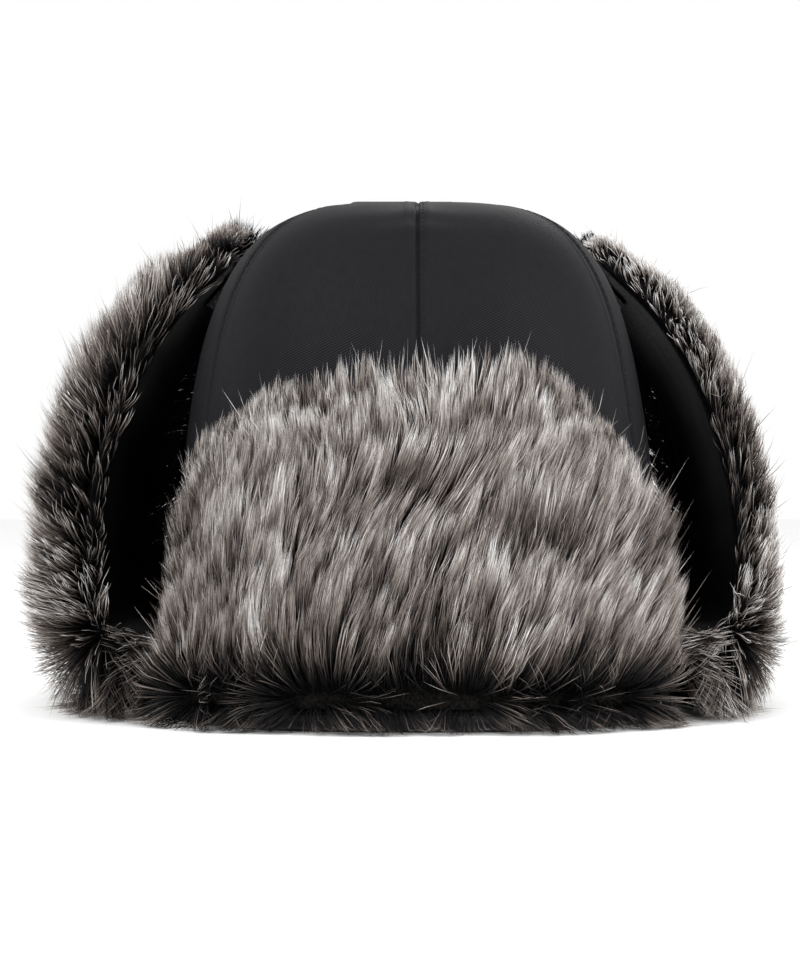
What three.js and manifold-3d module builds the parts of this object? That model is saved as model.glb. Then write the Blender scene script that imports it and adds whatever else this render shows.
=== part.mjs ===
// A trapper hat with its ear flaps and neck flap turned up. Millimetres, +Z up, the front faces -Y.
// The hat stands on the bound lower edge of its crown, which lies on z = 0.
import * as THREE from "three";
import { ParametricGeometry } from "three/addons/geometries/ParametricGeometry.js";
import { mergeVertices } from "three/addons/utils/BufferGeometryUtils.js";
import Module from "manifold-3d";

const wasm = await Module();
wasm.setup();

// ---- driving dimensions ----
const GAP = 0.3; // between pieces that touch
const LAYER_GAP = 0.8; // between the layers of a flap, whose faces twist
const CROWN = {
  halfWidth: 98,
  halfLength: 112,
  bottom: 4,
  top: 205,
  planPower: 2.7, // 2 would be an ellipse seen from above
  domePower: 3.9, // how square the dome's shoulders are
  taper: 0.06, // how much narrower the crown gets towards its top
  puff: 1.5, // how far a gore swells between its seams
  buttonRadius: 3, // the small round where the gores meet on top
  goreColumns: 5,
  rows: 9,
};
const SHELL = 1.2;
const CROWN_WADDING = 5;
const LINING = 1.5;
const SWEATBAND = { thickness: 3.5, height: 34 };
const GORE_SEAMS = [0, 60, 120, 180, 240, 300]; // degrees round from the front
const BINDING = { width: 5.2, height: 8, chamfer: 1.5 }; // the bound lower edge that the hat stands on

const FLAP = { lining: 1, wadding: 6, fur: 20 };
const OUTLINE = { halfWidth: 126.5, halfLength: 140, power: 3.2 }; // of the turned-up flaps, seen from above
const EAR = { front: -52, back: 78, tipCentre: 52, tipHalfWidth: 34 };
const NECK = { halfWidth: 88, topHalfWidth: 66 };
const FRONT_FLAP = {
  halfAngle: 52, // degrees round from the front, at the bottom
  topHalfAngle: 41,
  top: 114,
  cornerDrop: 20,
  standOff: 2, // clear of the crown
  wadding: 4,
  fur: 19,
};

const WEBBING = { width: 20, thickness: 1.6, y: 58, lift: 0.8 };
const BUCKLE = {
  width: 27,
  height: 6.6,
  socketLength: 31,
  plugLength: 16,
  prongLength: 19,
  prongHeight: 3.4,
  barb: 1.3, // how far the arms' ends stand out from the arms
  wall: 1.4,
};
const STRAP_PIVOT = { out: 62, z: 196 }; // where a strap swings on its tab, past the ear flap's tip
const TAIL_LENGTH = 18; // the strap's free end behind the plug
const TAB = { share: 0.09, halfWidth: 10 }; // holds a strap's end, sewn over this share of a flap's profile

// ---- materials ----
const look = (color, roughness) => new THREE.MeshStandardMaterial({ color, roughness, metalness: 0 });
const NYLON = [0x2b2b2e, 0.62];
const FUR = [0x8b817b, 0.95];
const WADDING = [0xe6e4df, 1];
const QUILT = [0x1d1d20, 0.75];
const FLEECE = [0x26262a, 0.95];
const STRAP = [0x141416, 0.7];
const MOULDED = [0x111113, 0.42];

const hat = new THREE.Group();
hat.name = "trapper_hat";

function addPart(name, geometry, [color, roughness], parent = hat) {
  const mesh = new THREE.Mesh(geometry, look(color, roughness));
  mesh.name = name;
  parent.add(mesh);
  return mesh;
}

// ---- geometry helpers ----
// Bends a box of acrossSteps by alongSteps cells into a sheet: place(u, v, w) is the point at a share u
// across, v along and w through the thickness.
function bentSheet(acrossSteps, alongSteps, place) {
  const geometry = new THREE.BoxGeometry(1, 1, 1, acrossSteps, alongSteps, 1);
  const points = geometry.getAttribute("position");
  for (let i = 0; i < points.count; i++) {
    const p = place(points.getX(i) + 0.5, points.getY(i) + 0.5, points.getZ(i) + 0.5);
    points.setXYZ(i, p.x, p.y, p.z);
  }
  return geometry;
}

function toSolid(geometry) {
  const bare = geometry.clone();
  bare.deleteAttribute("normal");
  bare.deleteAttribute("uv");
  const merged = mergeVertices(bare, 1e-4);
  const vertProperties = merged.getAttribute("position").array;
  const triVerts = new Uint32Array(merged.index.array);
  return new wasm.Manifold(new wasm.Mesh({ numProp: 3, vertProperties, triVerts }));
}

function toGeometry(solid) {
  const mesh = solid.getMesh();
  const geometry = new THREE.BufferGeometry();
  geometry.setAttribute("position", new THREE.BufferAttribute(mesh.vertProperties, 3));
  geometry.setIndex(new THREE.BufferAttribute(mesh.triVerts, 1));
  return geometry.toNonIndexed();
}

// A coordinate on a rounded oval: the share of its half width or half length at an angle's sine or cosine.
const ovalShare = (s, power) => Math.sign(s) * Math.abs(s) ** (2 / power);

// The outline of the turned-up flaps bows inwards by this much at a distance across from its middle.
function outlineBow(across, halfDepth, halfSpan) {
  const share = Math.min(1, Math.abs(across) / halfSpan);
  return halfDepth * (1 - (1 - share ** OUTLINE.power) ** (1 / OUTLINE.power));
}

// ---- crown ----
// How wide the crown is at a height, as a share of its width at the bottom.
function domeShare(z, top) {
  const rise = THREE.MathUtils.clamp((z - CROWN.bottom) / (top - CROWN.bottom), 0, 1);
  return (1 - CROWN.taper * rise) * (1 - rise ** CROWN.domePower) ** (1 / CROWN.domePower);
}

// A point at an angle round from the front and a height, pushed in by inset from the shell's outer face.
function crownPoint(angle, z, inset) {
  const share = domeShare(z, CROWN.top - inset);
  return new THREE.Vector3(
    (CROWN.halfWidth - inset) * share * ovalShare(Math.sin(angle), CROWN.planPower),
    -(CROWN.halfLength - inset) * share * ovalShare(Math.cos(angle), CROWN.planPower),
    z,
  );
}

// The height at a share of the way up the dome's profile: 0 at the bottom edge, 1 on top.
function domeHeight(share, inset) {
  const rise = Math.sin((share * Math.PI) / 2);
  return CROWN.bottom + (CROWN.top - inset - CROWN.bottom) * rise;
}

// The gores stop at the small round on top.
const buttonRise = (1 - (CROWN.buttonRadius / CROWN.halfWidth) ** CROWN.domePower) ** (1 / CROWN.domePower);
const TOP_SHARE = (2 / Math.PI) * Math.asin(buttonRise);

function gore(startDegrees, endDegrees) {
  const seamGap = 0.2; // degrees left at each seam
  const start = THREE.MathUtils.degToRad(startDegrees + seamGap);
  const end = THREE.MathUtils.degToRad(endDegrees - seamGap);
  return bentSheet(CROWN.goreColumns, CROWN.rows, (u, v, w) => {
    const swell = CROWN.puff * 4 * u * (1 - u) * 4 * v * (1 - v);
    const inset = SHELL * (1 - w);
    const point = crownPoint(start + (end - start) * u, domeHeight(v * TOP_SHARE, inset), inset);
    const outwards = new THREE.Vector3(point.x, point.y, point.z - CROWN.bottom).normalize();
    return point.addScaledVector(outwards, swell);
  });
}

// A closed ring swept round the hat: section(angle, turn) is a point on it, for turn from 0 to 1.
function ringGeometry(ringSteps, sectionSteps, section) {
  const place = (u, v, target) => target.copy(section(-u * 2 * Math.PI, v));
  return new ParametricGeometry(place, ringSteps, sectionSteps);
}

// A closed dome between two insets. Its section runs down the outer face from the top, and up the inner one.
function domeLayer(outerInset, innerInset) {
  const lastStep = 2 * CROWN.rows + 1;
  return ringGeometry(CROWN.goreColumns * GORE_SEAMS.length, lastStep, (angle, turn) => {
    const step = Math.round(turn * lastStep);
    const onOuter = step <= CROWN.rows;
    const inset = onOuter ? outerInset : innerInset;
    const share = onOuter ? 1 - step / CROWN.rows : (step - CROWN.rows - 1) / CROWN.rows;
    return crownPoint(angle, domeHeight(share, inset), inset);
  });
}

const GORE_NAMES = [
  "gore_front_right",
  "gore_side_right",
  "gore_back_right",
  "gore_back_left",
  "gore_side_left",
  "gore_front_left",
];
GORE_NAMES.forEach((name, i) => {
  addPart(name, gore(GORE_SEAMS[i], GORE_SEAMS[i] + 60), NYLON);
});

const waddingInset = SHELL + GAP;
const liningInset = waddingInset + CROWN_WADDING + GAP;
const bandInset = liningInset + LINING + 2 * GAP;
addPart("crown_wadding", domeLayer(waddingInset, waddingInset + CROWN_WADDING), WADDING);
addPart("crown_lining", domeLayer(liningInset, liningInset + LINING), QUILT);

const SQUARE_SECTION = [
  [0, 0],
  [1, 0],
  [1, 1],
  [0, 1],
];

function sweatband() {
  return ringGeometry(CROWN.goreColumns * GORE_SEAMS.length, 4, (angle, turn) => {
    const corner = SQUARE_SECTION[Math.round(turn * 4) % 4];
    const z = CROWN.bottom + corner[1] * SWEATBAND.height;
    return crownPoint(angle, z, bandInset + corner[0] * SWEATBAND.thickness);
  });
}
addPart("sweatband", sweatband(), FLEECE);

// The binding's section with its corners cut off, from the inner top corner over its top: out and up.
const BINDING_SECTION = [
  [0, BINDING.height - BINDING.chamfer],
  [BINDING.chamfer, BINDING.height],
  [BINDING.width - BINDING.chamfer, BINDING.height],
  [BINDING.width, BINDING.height - BINDING.chamfer],
  [BINDING.width, BINDING.chamfer],
  [BINDING.width - BINDING.chamfer, 0],
  [BINDING.chamfer, 0],
  [0, BINDING.chamfer],
];

function edgeBinding() {
  const corners = BINDING_SECTION.length;
  return ringGeometry(CROWN.goreColumns * GORE_SEAMS.length, corners, (angle, turn) => {
    const [out, z] = BINDING_SECTION[Math.round(turn * corners) % corners];
    const x = (CROWN.halfWidth + GAP + out) * ovalShare(Math.sin(angle), CROWN.planPower);
    const y = -(CROWN.halfLength + GAP + out) * ovalShare(Math.cos(angle), CROWN.planPower);
    return new THREE.Vector3(x, y, z);
  });
}
addPart("edge_binding", edgeBinding(), FLEECE);

// ---- front flap ----
// Its top edge is highest in the middle and falls away to rounded corners, and its sides lean in.
function frontFlapLayer(innerOffset, thickness, bottom) {
  return bentSheet(14, 6, (u, v, w) => {
    const side = 2 * u - 1;
    const lean = THREE.MathUtils.lerp(FRONT_FLAP.halfAngle, FRONT_FLAP.topHalfAngle, v ** 1.5);
    const top = FRONT_FLAP.top - FRONT_FLAP.cornerDrop * Math.abs(side) ** 3.5;
    const angle = side * THREE.MathUtils.degToRad(lean);
    return crownPoint(angle, THREE.MathUtils.lerp(bottom, top, v), -(innerOffset + thickness * w));
  });
}

function addFrontFlap() {
  const waddingAt = FRONT_FLAP.standOff + FLAP.lining + LAYER_GAP;
  const furAt = waddingAt + FRONT_FLAP.wadding + LAYER_GAP;
  const aboveBinding = BINDING.height + 1;
  addPart("front_flap_lining", frontFlapLayer(FRONT_FLAP.standOff, FLAP.lining, aboveBinding), NYLON);
  addPart("front_flap_wadding", frontFlapLayer(waddingAt, FRONT_FLAP.wadding, aboveBinding), WADDING);
  addPart("front_flap_fur", frontFlapLayer(furAt, FRONT_FLAP.fur, 1), FUR);
}
addFrontFlap();

// ---- flaps that turn down ----
// A flap's inner face starts at the binding, runs out level, folds upwards and leans in to its tip. A profile
// holds the distance out from the hat's middle, and the height.
function profileCurve(points) {
  return new THREE.CatmullRomCurve3(points.map(([out, z]) => new THREE.Vector3(out, 0, z)));
}
const EAR_PROFILE = profileCurve([
  [104, 29.5],
  [114, 30],
  [122, 34.5],
  [126.5, 46],
  [128, 66],
  [125, 98],
  [115, 132],
  [99, 162],
  [76, 189],
]);
const NECK_PROFILE = profileCurve([
  [119, 29.5],
  [126, 30],
  [132, 35],
  [134.5, 46],
  [134.5, 64],
  [131, 88],
  [124, 110],
]);
const FOLD_SHARE = 0.35; // of a profile: up to here a flap keeps its full width

// A point of a profile moved outwards, square to the profile.
function offsetProfile(curve, share, out) {
  const point = curve.getPoint(share);
  const along = curve.getTangent(share);
  return { out: point.x + out * along.z, z: point.z - out * along.x };
}

// How much of its half width a flap keeps near its rounded end.
function endRounding(share, from) {
  const past = Math.max(0, (share - from) / (1 - from));
  return Math.sqrt(1 - 0.8 * past ** 2);
}

const pastFold = (share) => Math.max(0, (share - FOLD_SHARE) / (1 - FOLD_SHARE));

function earHalfWidth(share) {
  const base = (EAR.back - EAR.front) / 2;
  return THREE.MathUtils.lerp(base, EAR.tipHalfWidth, pastFold(share) ** 1.3) * endRounding(share, 0.8);
}

function earCentre(share) {
  return THREE.MathUtils.lerp((EAR.back + EAR.front) / 2, EAR.tipCentre, pastFold(share));
}

// One layer of an ear flap. side is 1 on +X and -1 on -X.
function earFlapLayer(side, innerOffset, thickness) {
  return bentSheet(6, 13, (u, v, w) => {
    const y = earCentre(v) + side * (2 * u - 1) * earHalfWidth(v);
    const at = offsetProfile(EAR_PROFILE, v, innerOffset + thickness * w);
    const bow = outlineBow(y, OUTLINE.halfWidth, OUTLINE.halfLength);
    return new THREE.Vector3(side * (at.out - bow), y, at.z);
  });
}

function neckFlapLayer(innerOffset, thickness) {
  return bentSheet(10, 8, (u, v, w) => {
    const halfWidth = THREE.MathUtils.lerp(NECK.halfWidth, NECK.topHalfWidth, pastFold(v) ** 2);
    const x = (1 - 2 * u) * halfWidth;
    const at = offsetProfile(NECK_PROFILE, v, innerOffset + thickness * w);
    const bow = outlineBow(x, OUTLINE.halfLength, OUTLINE.halfWidth);
    return new THREE.Vector3(x, at.out - bow, at.z);
  });
}

// Every turned-down flap is three layers: nylon towards the crown, wadding, and fur outside.
function addLayers(prefix, layer) {
  const waddingAt = FLAP.lining + LAYER_GAP;
  const furAt = waddingAt + FLAP.wadding + LAYER_GAP;
  addPart(prefix + "_shell", layer(0, FLAP.lining), NYLON);
  addPart(prefix + "_wadding", layer(waddingAt, FLAP.wadding), WADDING);
  addPart(prefix + "_fur", layer(furAt, FLAP.fur), FUR);
}
const SIDES = [
  ["left", -1],
  ["right", 1],
];
for (const [name, side] of SIDES) {
  addLayers("ear_flap_" + name, (inner, thickness) => earFlapLayer(side, inner, thickness));
}
addLayers("neck_flap", neckFlapLayer);

// ---- chin strap and buckle ----
// The height of the crown's outer face over a point, found by halving.
function crownHeight(x, y) {
  const inside = (z) => {
    const share = domeShare(z, CROWN.top);
    const acrossShare = Math.abs(x) / (CROWN.halfWidth * share);
    const alongShare = Math.abs(y) / (CROWN.halfLength * share);
    return acrossShare ** CROWN.planPower + alongShare ** CROWN.planPower < 1;
  };
  let low = CROWN.bottom;
  let high = CROWN.top - 1e-6;
  for (let i = 0; i < 30; i++) {
    const middle = (low + high) / 2;
    if (inside(middle)) low = middle;
    else high = middle;
  }
  return low;
}

// The strap lies on the crown's back slope and tilts with it. Its frame has X along the strap, Y across it
// and z = 0 on the webbing's upper face.
const webbingHalf = WEBBING.width / 2;
const slopeFall = crownHeight(0, WEBBING.y - webbingHalf) - crownHeight(0, WEBBING.y + webbingHalf);
const strapTop = crownHeight(0, WEBBING.y) + CROWN.puff + WEBBING.lift + WEBBING.thickness;
const strapFrame = new THREE.Group();
strapFrame.position.set(0, WEBBING.y, strapTop);
const strapTilt = Math.atan2(slopeFall, WEBBING.width);
strapFrame.rotation.x = -strapTilt;
hat.add(strapFrame);

// Over the crown the webbing follows the dome, and past its shoulder it runs straight to its pivot.
const crownFall = (x) => crownHeight(x, WEBBING.y) - crownHeight(0, WEBBING.y);
const pivotDrop = (STRAP_PIVOT.z - strapTop) / Math.cos(strapTilt);
const pivotY = WEBBING.y + pivotDrop * Math.sin(strapTilt);
const STRAP_ROUTE = profileCurve([
  [0, 0],
  [12, 0],
  [24, 0],
  [38, crownFall(36)],
  [50, 0.75 * pivotDrop],
  [STRAP_PIVOT.out, pivotDrop],
]);

// One side's webbing, from a distance along the route to the pivot. It twists level on its way there.
function webbing(side, from) {
  return bentSheet(1, 14, (u, v, w) => {
    const share = THREE.MathUtils.lerp(from / STRAP_ROUTE.getLength(), 1, v);
    const at = STRAP_ROUTE.getPointAt(share);
    const along = STRAP_ROUTE.getTangentAt(share);
    const down = WEBBING.thickness * (1 - w);
    const across = side * (0.5 - u) * WEBBING.width;
    const twist = strapTilt * THREE.MathUtils.smoothstep(at.x, 36, STRAP_PIVOT.out - 2);
    const x = side * (at.x + down * along.z);
    return new THREE.Vector3(x, across * Math.cos(twist), at.z - down * along.x + across * Math.sin(twist));
  });
}

const buckleMiddle = 2; // where the plug's shoulder meets the socket's mouth
const plugStart = buckleMiddle + GAP;
const socketEnd = buckleMiddle - BUCKLE.socketLength;
addPart("strap_left", webbing(-1, -socketEnd + GAP), STRAP, strapFrame);
addPart("strap_right", webbing(1, plugStart + 1), STRAP, strapFrame);

// A flat plate with rounded corners, from x0 to x1 and of a half width, standing on z = bottom.
function plate(x0, x1, halfWidth, corner, bottom, height) {
  const shape = new THREE.Shape();
  shape.moveTo(x0 + corner, -halfWidth);
  shape.lineTo(x1 - corner, -halfWidth);
  shape.quadraticCurveTo(x1, -halfWidth, x1, -halfWidth + corner);
  shape.lineTo(x1, halfWidth - corner);
  shape.quadraticCurveTo(x1, halfWidth, x1 - corner, halfWidth);
  shape.lineTo(x0 + corner, halfWidth);
  shape.quadraticCurveTo(x0, halfWidth, x0, halfWidth - corner);
  shape.lineTo(x0, -halfWidth + corner);
  shape.quadraticCurveTo(x0, -halfWidth, x0 + corner, -halfWidth);
  const geometry = new THREE.ExtrudeGeometry(shape, { depth: height, bevelEnabled: false, curveSegments: 3 });
  return geometry.translate(0, 0, bottom);
}

const box = (x0, x1, y0, y1, z0, z1) =>
  new THREE.BoxGeometry(x1 - x0, y1 - y0, z1 - z0).translate((x0 + x1) / 2, (y0 + y1) / 2, (z0 + z1) / 2);

const slotWidth = 3;
const slotHalf = webbingHalf + 0.5;
const cavityBottom = (BUCKLE.height - BUCKLE.prongHeight) / 2 - GAP;
const cavityTop = (BUCKLE.height + BUCKLE.prongHeight) / 2 + GAP;
const BUCKLE_BOTTOM = 0.4; // above the webbing's upper face
const armOuter = BUCKLE.width / 2 - BUCKLE.wall - GAP;
const armInner = armOuter - 4.2;
const armSide = armOuter - BUCKLE.barb;

// The socket: a flat box open towards the plug, with a window in each side for the plug's arms to spring into
// and a bar at its other end for the webbing.
function buckleSocket() {
  const half = BUCKLE.width / 2;
  const inside = half - BUCKLE.wall;
  const through = BUCKLE.height + 2;
  const body = toSolid(plate(socketEnd, buckleMiddle, half, 4, 0, BUCKLE.height));
  const cavityEnd = buckleMiddle - BUCKLE.prongLength - 2;
  const cavity = box(cavityEnd, buckleMiddle + 1, -inside, inside, cavityBottom, cavityTop);
  const windows = box(buckleMiddle - 17, buckleMiddle - 7, -half - 2, half + 2, cavityBottom, cavityTop);
  const slot = box(socketEnd + 3, socketEnd + 3 + slotWidth, -slotHalf, slotHalf, -1, through);
  const cut = body.subtract(toSolid(cavity)).subtract(toSolid(windows)).subtract(toSolid(slot));
  return toGeometry(cut).translate(0, 0, BUCKLE_BOTTOM);
}

// The plug: a block with two slots that the webbing threads through, a guide in the middle and two arms with
// barbed ends. The arms are as close together as when they are squeezed to let the plug out.
function bucklePlug() {
  const half = BUCKLE.width / 2;
  const end = plugStart + BUCKLE.plugLength;
  const tip = buckleMiddle - BUCKLE.prongLength;
  const prongBottom = (BUCKLE.height - BUCKLE.prongHeight) / 2;
  const prongTop = prongBottom + BUCKLE.prongHeight;
  let solid = toSolid(plate(plugStart, end, half, 3, 0, BUCKLE.height));
  for (const slotAt of [plugStart + 3.5, end - 3 - slotWidth]) {
    const slot = box(slotAt, slotAt + slotWidth, -slotHalf, slotHalf, -1, BUCKLE.height + 1);
    solid = solid.subtract(toSolid(slot));
  }
  const guide = box(tip + 6, plugStart + 1, -2, 2, prongBottom, prongTop);
  solid = solid.add(toSolid(guide));
  for (const side of [-1, 1]) {
    const arm = box(tip, plugStart + 1, armInner, armSide, prongBottom, prongTop);
    const barb = box(buckleMiddle - 15.5, buckleMiddle - 8.5, armInner, armOuter, prongBottom, prongTop);
    for (const piece of [arm, barb]) {
      solid = solid.add(toSolid(side > 0 ? piece : piece.rotateX(Math.PI).translate(0, 0, BUCKLE.height)));
    }
  }
  return toGeometry(solid).translate(0, 0, BUCKLE_BOTTOM);
}
addPart("buckle_socket", buckleSocket(), MOULDED, strapFrame);
addPart("buckle_plug", bucklePlug(), MOULDED, strapFrame);

// The strap's free end comes out of the plug and lies along the webbing.
const tailStart = plugStart + BUCKLE.plugLength + GAP;
const tailBottom = 2 * GAP;
const tailTop = tailBottom + WEBBING.thickness;
const tail = box(tailStart, tailStart + TAIL_LENGTH, -webbingHalf, webbingHalf, tailBottom, tailTop);
addPart("strap_tail", tail, STRAP, strapFrame);

// The tab is sewn along the nylon side of a flap's tip and runs on past it to the strap's pivot.
const tabAt = (share) => offsetProfile(EAR_PROFILE, share, -LAYER_GAP - WEBBING.thickness / 2);
const tabTip = tabAt(1);
const tabEnd = { out: STRAP_PIVOT.out + 1.8, z: STRAP_PIVOT.z - WEBBING.thickness / 2 };
const TAB_ROUTE = profileCurve(
  [tabAt(1 - TAB.share), tabAt(1 - TAB.share / 2), tabTip, tabEnd].map((at) => [at.out, at.z]),
);

function strapTab(side) {
  return bentSheet(1, 12, (u, v, w) => {
    const at = offsetProfile(TAB_ROUTE, v, (w - 0.5) * WEBBING.thickness);
    const y = pivotY + side * (2 * u - 1) * TAB.halfWidth;
    const sewn = THREE.MathUtils.clamp((at.out - tabEnd.out) / (tabTip.out - tabEnd.out), 0, 1);
    const bow = sewn * outlineBow(y, OUTLINE.halfWidth, OUTLINE.halfLength);
    return new THREE.Vector3(side * (at.out - bow), y, at.z);
  });
}
for (const [name, side] of SIDES) {
  addPart("strap_tab_" + name, strapTab(side), STRAP);
}

// ---- the frame ----
// The hat stands so that its middle, from the front flap's fur to the neck flap's, is over the origin.
const frontLayers = FRONT_FLAP.standOff + FLAP.lining + FRONT_FLAP.wadding + FRONT_FLAP.fur + 2 * LAYER_GAP;
const backLayers = FLAP.lining + FLAP.wadding + FLAP.fur + 2 * LAYER_GAP;
const neckReach = Math.max(...NECK_PROFILE.points.map((point) => point.x));
hat.position.y = (CROWN.halfLength + frontLayers - neckReach - backLayers) / 2;

export default hat;
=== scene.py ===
"""Looks for the trapper hat: twill crown, faux fur, quilted lining, webbing and buckle.

Shapes are worked out in millimetres from the middle of the crown's lower edge, with the front facing -Y,
and become metres in the row frame when a mesh is made.
"""

import itertools
import math

import bmesh
import bpy
import numpy as np
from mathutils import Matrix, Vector


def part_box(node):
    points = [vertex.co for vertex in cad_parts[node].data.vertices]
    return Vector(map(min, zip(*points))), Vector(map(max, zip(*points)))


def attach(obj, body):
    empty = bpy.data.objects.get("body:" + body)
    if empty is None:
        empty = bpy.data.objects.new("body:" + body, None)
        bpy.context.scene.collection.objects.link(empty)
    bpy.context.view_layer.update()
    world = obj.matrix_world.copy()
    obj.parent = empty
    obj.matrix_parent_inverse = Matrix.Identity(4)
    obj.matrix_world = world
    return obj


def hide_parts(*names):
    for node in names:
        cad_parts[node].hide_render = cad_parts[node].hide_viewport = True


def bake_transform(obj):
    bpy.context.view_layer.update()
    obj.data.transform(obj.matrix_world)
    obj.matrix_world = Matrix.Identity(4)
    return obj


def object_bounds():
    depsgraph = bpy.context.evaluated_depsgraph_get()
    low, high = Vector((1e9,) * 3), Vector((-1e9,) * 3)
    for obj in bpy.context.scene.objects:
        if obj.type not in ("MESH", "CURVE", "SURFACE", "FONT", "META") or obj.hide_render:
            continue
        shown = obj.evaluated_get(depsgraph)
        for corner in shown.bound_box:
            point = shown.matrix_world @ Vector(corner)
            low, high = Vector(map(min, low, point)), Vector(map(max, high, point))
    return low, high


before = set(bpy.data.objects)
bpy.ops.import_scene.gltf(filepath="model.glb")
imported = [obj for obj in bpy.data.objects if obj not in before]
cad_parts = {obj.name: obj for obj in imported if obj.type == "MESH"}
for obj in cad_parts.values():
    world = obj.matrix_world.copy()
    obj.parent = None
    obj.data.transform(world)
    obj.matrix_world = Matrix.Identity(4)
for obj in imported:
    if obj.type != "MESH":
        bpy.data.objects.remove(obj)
cad_low, cad_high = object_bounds()

MM = 0.001
lining_low, lining_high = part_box("crown_lining")
CENTRE_Y = (lining_low[1] + lining_high[1]) / 2  # the crown's middle, in metres

# ---- driving dimensions, as the CAD model has them ----
CROWN = {
    "half_width": 98,
    "half_length": 112,
    "bottom": 4,
    "top": 205,
    "plan_power": 2.7,
    "dome_power": 3.9,
    "taper": 0.06,
    "puff": 1.5,
}
GORES = 6
GORE_DEGREES = 360 / GORES
GORE_NAMES = [
    "gore_front_right",
    "gore_side_right",
    "gore_back_right",
    "gore_back_left",
    "gore_side_left",
    "gore_front_left",
]
SHELL = 1.2
BINDING = {"width": 5.2, "height": 8}
OUTLINE = {"half_width": 126.5, "half_length": 140, "power": 3.2}
EAR = {"front": -52, "back": 78, "tip_centre": 52, "tip_half_width": 34}
NECK = {"half_width": 88, "top_half_width": 66}
FRONT_FLAP = {"half_angle": 52, "top_half_angle": 41, "top": 114, "corner_drop": 20, "stand_off": 2}
EAR_PROFILE = [
    (104, 29.5),
    (114, 30),
    (122, 34.5),
    (126.5, 46),
    (128, 66),
    (125, 98),
    (115, 132),
    (99, 162),
    (76, 189),
]
NECK_PROFILE = [(119, 29.5), (126, 30), (132, 35), (134.5, 46), (134.5, 64), (131, 88), (124, 110)]
FOLD_SHARE = 0.35
PANEL_THICKNESS = 7.8  # a flap's nylon and wadding together
FRONT_PANEL_THICKNESS = 5.8
FUR_CLEARANCE = 0.8  # from a panel to the backing of its fur
FRONT_SIZE = (196, 106)  # a flap's width and its length along its profile
EAR_SIZE = (130, 188)
NECK_SIZE = (176, 98)

# ---- dimensions of the looks alone ----
DOME_END = 0.9985  # the share of the dome's profile that cloth reaches, just short of its middle
GORE_WIDTH = 112
STITCH_RADIUS = 0.28
EDGE_STITCH_INSET = 7


# ---- small mathematical helpers ----
def noise(points, size, seed):
    """Smooth noise from -1 to 1 that changes over about size, and is the same on every run."""
    cell = np.floor(points / size).astype(np.int64)
    share = points / size - cell
    share = share * share * (3 - 2 * share)
    total = np.zeros(len(points))
    factors = np.array([73856093, 19349663, 83492791])[: points.shape[1]]
    for corner in itertools.product((0, 1), repeat=points.shape[1]):
        corner = np.array(corner)
        weight = np.prod(np.where(corner == 1, share, 1 - share), axis=1)
        total += weight * (2 * hashed(((cell + corner) * factors).sum(axis=1), seed) - 1)
    return total


def hashed(numbers, seed):
    """A number from 0 to 1 for each whole number."""
    mixed = (numbers + seed * 7919) & 0xFFFFFFFF
    for shift in (16, 15, 16):
        mixed = ((mixed ^ (mixed >> shift)) * 0x45D9F3B) & 0xFFFFFFFF
    return (mixed & 0xFFFFFF) / 0xFFFFFF


def unit(vectors):
    return vectors / np.maximum(np.linalg.norm(vectors, axis=-1, keepdims=True), 1e-9)


def mix(a, b, share):
    return a + (b - a) * share


def smooth(share):
    share = np.clip(share, 0, 1)
    return share * share * (3 - 2 * share)


def spline(knots, share):
    """Points on a smooth curve through the knots, and the curve's direction there."""
    knots = np.array(knots, float)
    ends = np.vstack([2 * knots[0] - knots[1], knots, 2 * knots[-1] - knots[-2]])
    at = np.clip(share, 0, 1) * (len(knots) - 1)
    step = np.minimum(at.astype(int), len(knots) - 2)
    t = (at - step)[:, None]
    a, b, c, d = (ends[step + k] for k in range(4))
    square = 2 * a - 5 * b + 4 * c - d
    cube = 3 * b - a - 3 * c + d
    point = 0.5 * (2 * b + (c - a) * t + square * t**2 + cube * t**3)
    slope = (c - a) + 2 * square * t + 3 * cube * t**2
    return point, unit(slope)


# ---- shapes shared with the CAD model ----
def dome_share(z, top):
    """How wide the crown is at a height, as a share of its width at the bottom."""
    rise = np.clip((z - CROWN["bottom"]) / (top - CROWN["bottom"]), 0, 1)
    power = CROWN["dome_power"]
    return (1 - CROWN["taper"] * rise) * (1 - rise**power) ** (1 / power)


def oval(s):
    return np.sign(s) * np.abs(s) ** (2 / CROWN["plan_power"])


def crown_point(angle, z, inset):
    """Points at angles round from the front, pushed in by inset from the shell's outer face."""
    share = dome_share(z, CROWN["top"] - inset)
    x = (CROWN["half_width"] - inset) * share * oval(np.sin(angle))
    y = -(CROWN["half_length"] - inset) * share * oval(np.cos(angle))
    return np.stack([x, y, np.broadcast_to(z, x.shape)], axis=-1)


def dome_height(share, inset):
    """The height at a share of the way up the dome's profile."""
    return CROWN["bottom"] + (CROWN["top"] - inset - CROWN["bottom"]) * np.sin(share * math.pi / 2)


def bow(across, half_depth, half_span):
    """How far the turned-up flaps' outline bows in at a distance across from its middle."""
    share = np.minimum(1, np.abs(across) / half_span)
    power = OUTLINE["power"]
    return half_depth * (1 - (1 - share**power) ** (1 / power))


def offset_profile(profile, share, out):
    point, slope = spline(profile, share)
    return point[:, 0] + out * slope[:, 1], point[:, 1] - out * slope[:, 0]


def past_fold(share):
    return np.clip((share - FOLD_SHARE) / (1 - FOLD_SHARE), 0, 1)


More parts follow.
